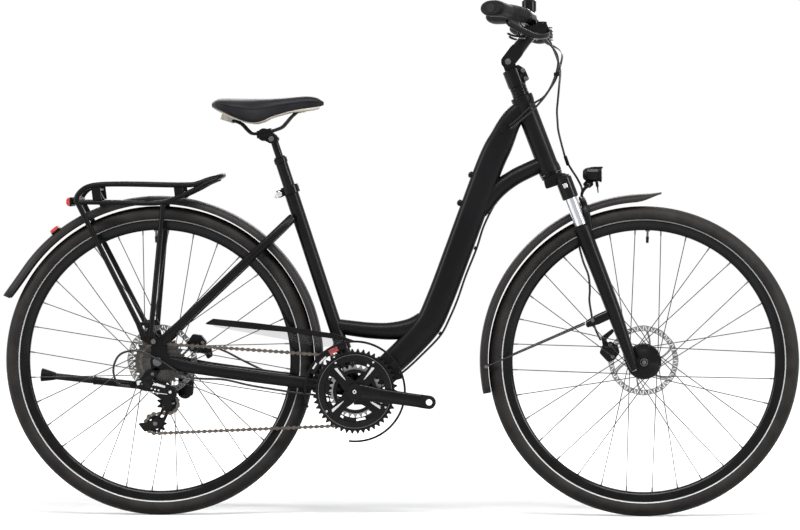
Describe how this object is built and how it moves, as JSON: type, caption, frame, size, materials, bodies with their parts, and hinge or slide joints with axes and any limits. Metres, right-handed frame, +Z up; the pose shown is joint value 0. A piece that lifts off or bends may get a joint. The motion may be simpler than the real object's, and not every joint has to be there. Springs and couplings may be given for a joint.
{
  "type": "step-through bicycle",
  "caption": "Step-through city bicycle: low curved frame, sprung fork, disc brakes, mudguards, rear rack, chain guard, kickstand and adjustable stem.",
  "frame": {"origin": "on the ground, midway between the front and rear ends, in the middle plane of the frame", "axes": "+X forwards, +Y to the left of the rider, +Z up"},
  "size_m": [1.8068, 0.6378, 1.146],
  "materials": {
    "frame_black": "satin black powder coat",
    "satin_black": "satin black",
    "crown": "satin dark grey with bright stanchions",
    "tyre": "black with a grey reflective stripe",
    "bright_steel": "brushed",
    "dark_steel": "oiled dark steel",
    "rubber": "matt black rubber",
    "plastic": "matt black plastic",
    "guard": "satin dark grey",
    "cream": "cream moulded shell",
    "cushion": "black soft cover",
    "red": "clear red",
    "aluminium": "brushed silver"
  },
  "bodies": {
    "frame": {"main_tube": "frame_black", "seat_tube": "frame_black", "rear_stays_right": "frame_black", "rear_stays_left": "frame_black", "seat_clamp": "frame_black", "rear_axle": "dark_steel", "rear_mudguard": "guard", "rear_reflector": "red", "rear_rack": "frame_black", "tail_light": "red", "chain_guard": "plastic", "front_derailleur": "satin_black", "rear_derailleur": "satin_black", "rear_caliper": "satin_black", "kickstand_bracket": "plastic", "frame_cables": "rubber", "cable_loop_lower": "rubber", "chain": "dark_steel"},
    "fork": {"fork_upper": "crown", "stem_base": "satin_black", "front_brake_hose": "rubber"},
    "bars": {"stem_arm": "satin_black", "handlebar": "satin_black", "grip_right": "rubber", "grip_left": "rubber", "control_right": "satin_black", "control_left": "satin_black", "bell": "satin_black", "cable_loop_upper": "rubber"},
    "lowers": {"fork_lowers": "frame_black", "front_caliper": "satin_black", "front_mudguard": "guard", "front_axle": "dark_steel"},
    "front wheel": {"front_tyre": "tyre", "front_rim": "satin_black", "front_hub": "satin_black", "front_rotor": "bright_steel"},
    "rear wheel": {"rear_tyre": "tyre", "rear_rim": "satin_black", "rear_hub": "satin_black", "rear_rotor": "bright_steel"},
    "cogs": {"cassette": "dark_steel"},
    "cranks": {"crankset": "satin_black", "crank_left": "satin_black"},
    "guide pulley": {"guide_pulley": "plastic"},
    "tension pulley": {"tension_pulley": "plastic"},
    "clamp lever": {"seat_clamp_lever": "aluminium"},
    "seatpost": {"seatpost": "satin_black"},
    "seat rod": {"seatpost_rod": "frame_black"},
    "saddle": {"saddle_cover": "cushion", "saddle_base": "cream", "saddle_rails": "frame_black"},
    "kickstand": {"kickstand_leg": "frame_black"},
    "kickstand foot": {"kickstand_lower_leg": "rubber"},
    "headlight": {"headlight": "plastic"},
    "brake lever right": {"brake_lever_right": "satin_black"},
    "brake lever left": {"brake_lever_left": "satin_black"},
    "shift lever right": {"shift_lever_right": "plastic"},
    "shift lever left": {"shift_lever_left": "plastic"},
    "bell lever": {"bell_lever": "plastic"}
  },
  "joints": [
    {"name": "steering", "type": "hinge", "parent": "frame", "child": "fork", "pos_m": [0.51031, 0, 0.33623], "axis": [-0.3584, 0, 0.9336], "range_deg": [-60, 60], "deforming": ["cable_loop_lower"]},
    {"name": "stem_tilt", "type": "hinge", "parent": "fork", "child": "bars", "pos_m": [0.24354, 0, 1.03119], "axis": [0, 1, 0], "range_deg": [-30, 20], "deforming": ["cable_loop_upper", "front_brake_hose"]},
    {"name": "fork_travel", "type": "slide", "parent": "fork", "child": "lowers", "axis": [-0.3584, 0, 0.9336], "range_m": [0, 0.05], "stiffness_N_per_m": 6000, "springref_m": -0.03, "deforming": ["front_brake_hose"]},
    {"name": "front_wheel_spin", "type": "hinge", "parent": "lowers", "child": "front wheel", "pos_m": [0.55139, 0, 0.352], "axis": [0, 1, 0], "continuous": true},
    {"name": "rear_wheel_spin", "type": "hinge", "parent": "frame", "child": "rear wheel", "pos_m": [-0.54861, 0, 0.352], "axis": [0, 1, 0], "continuous": true},
    {"name": "crank_spin", "type": "hinge", "parent": "frame", "child": "cranks", "pos_m": [-0.10161, 0, 0.285], "axis": [0, 1, 0], "continuous": true},
    {"name": "cog_spin", "type": "hinge", "parent": "frame", "child": "cogs", "pos_m": [-0.54861, 0, 0.352], "axis": [0, 1, 0], "continuous": true},
    {"name": "guide_pulley_spin", "type": "hinge", "parent": "frame", "child": "guide pulley", "pos_m": [-0.52602, -0.045, 0.2562], "axis": [0, 1, 0], "continuous": true},
    {"name": "tension_pulley_spin", "type": "hinge", "parent": "frame", "child": "tension pulley", "pos_m": [-0.55571, -0.045, 0.2105], "axis": [0, 1, 0], "continuous": true},
    {"name": "kickstand_swing", "type": "hinge", "parent": "frame", "child": "kickstand", "pos_m": [-0.49861, 0.084, 0.28], "axis": [-0.0697, -0.863, -0.5004], "range_deg": [0, 107]},
    {"name": "kickstand_length", "type": "slide", "parent": "kickstand", "child": "kickstand foot", "axis": [-0.9944, 0.02, 0.1039], "range_m": [0, 0.04]},
    {"name": "clamp_lever_swing", "type": "hinge", "parent": "frame", "child": "clamp lever", "pos_m": [-0.27561, 0.0176, 0.73097], "axis": [-0.3123, 0, 0.95], "range_deg": [0, 110]},
    {"name": "seatpost_height", "type": "slide", "parent": "frame", "child": "seatpost", "axis": [-0.3123, 0, 0.95], "range_m": [-0.012, 0.08]},
    {"name": "seat_spring", "type": "slide", "parent": "seatpost", "child": "seat rod", "axis": [-0.3123, 0, 0.95], "range_m": [-0.028, 0], "stiffness_N_per_m": 9000, "springref_m": 0.01},
    {"name": "saddle_tilt", "type": "hinge", "parent": "seat rod", "child": "saddle", "pos_m": [-0.28964, 0, 0.85688], "axis": [0, 1, 0], "range_deg": [-8, 8]},
    {"name": "headlight_tilt", "type": "hinge", "parent": "lowers", "child": "headlight", "pos_m": [0.42539, 0, 0.752], "axis": [0, 1, 0], "range_deg": [-8, 8]},
    {"name": "brake_pull_right", "type": "hinge", "parent": "bars", "child": "brake lever right", "pos_m": [0.33603, -0.158, 1.09405], "axis": [0, 0, -1], "range_deg": [0, 16], "stiffness_Nm_per_rad": 0.6, "springref_deg": -8.59},
    {"name": "brake_pull_left", "type": "hinge", "parent": "bars", "child": "brake lever left", "pos_m": [0.33603, 0.158, 1.09405], "axis": [0, 0, 1], "range_deg": [0, 16], "stiffness_Nm_per_rad": 0.6, "springref_deg": -8.59},
    {"name": "shift_push_right", "type": "hinge", "parent": "bars", "child": "shift lever right", "pos_m": [0.27803, -0.15, 1.08505], "axis": [0, 0, -1], "range_deg": [0, 25], "stiffness_Nm_per_rad": 0.15, "springref_deg": -11.46},
    {"name": "shift_push_left", "type": "hinge", "parent": "bars", "child": "shift lever left", "pos_m": [0.27803, 0.15, 1.08505], "axis": [0, 0, 1], "range_deg": [0, 25], "stiffness_Nm_per_rad": 0.15, "springref_deg": -11.46},
    {"name": "bell_flick", "type": "hinge", "parent": "bars", "child": "bell lever", "pos_m": [0.29803, -0.1, 1.13405], "axis": [0, 0, 1], "range_deg": [-12, 12], "stiffness_Nm_per_rad": 0.03}
  ],
  "couplings": [
    {"joint": "cog_spin", "follows": "crank_spin", "ratio": 1.9},
    {"joint": "guide_pulley_spin", "follows": "crank_spin", "ratio": -3.4545},
    {"joint": "tension_pulley_spin", "follows": "crank_spin", "ratio": 3.4545}
  ]
}
